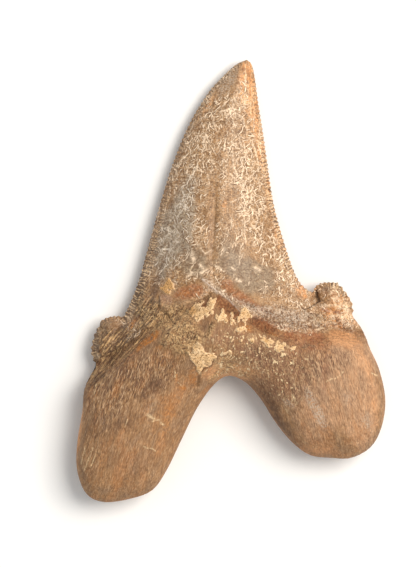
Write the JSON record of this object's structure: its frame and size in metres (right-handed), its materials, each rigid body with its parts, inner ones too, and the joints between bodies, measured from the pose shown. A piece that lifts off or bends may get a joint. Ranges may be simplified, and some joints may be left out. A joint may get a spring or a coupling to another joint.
{
  "type": "fossil shark tooth",
  "caption": "Fossil shark tooth with a serrated triangular crown, serrated side cusplets and a two-lobed root, lying on its flatter face.",
  "frame": {"origin": "middle of the outline's box, on the surface that the tooth lies on", "axes": "+Y towards the crown's tip, +Z out of the swollen inner face, +X to the side that the tip leans to"},
  "size_m": [0.0555, 0.0796, 0.0167],
  "materials": {
    "fossil_tooth": "fossil enamel and bone, dull polish"
  },
  "bodies": {
    "root": {"tooth": "fossil_tooth"}
  },
  "joints": []
}
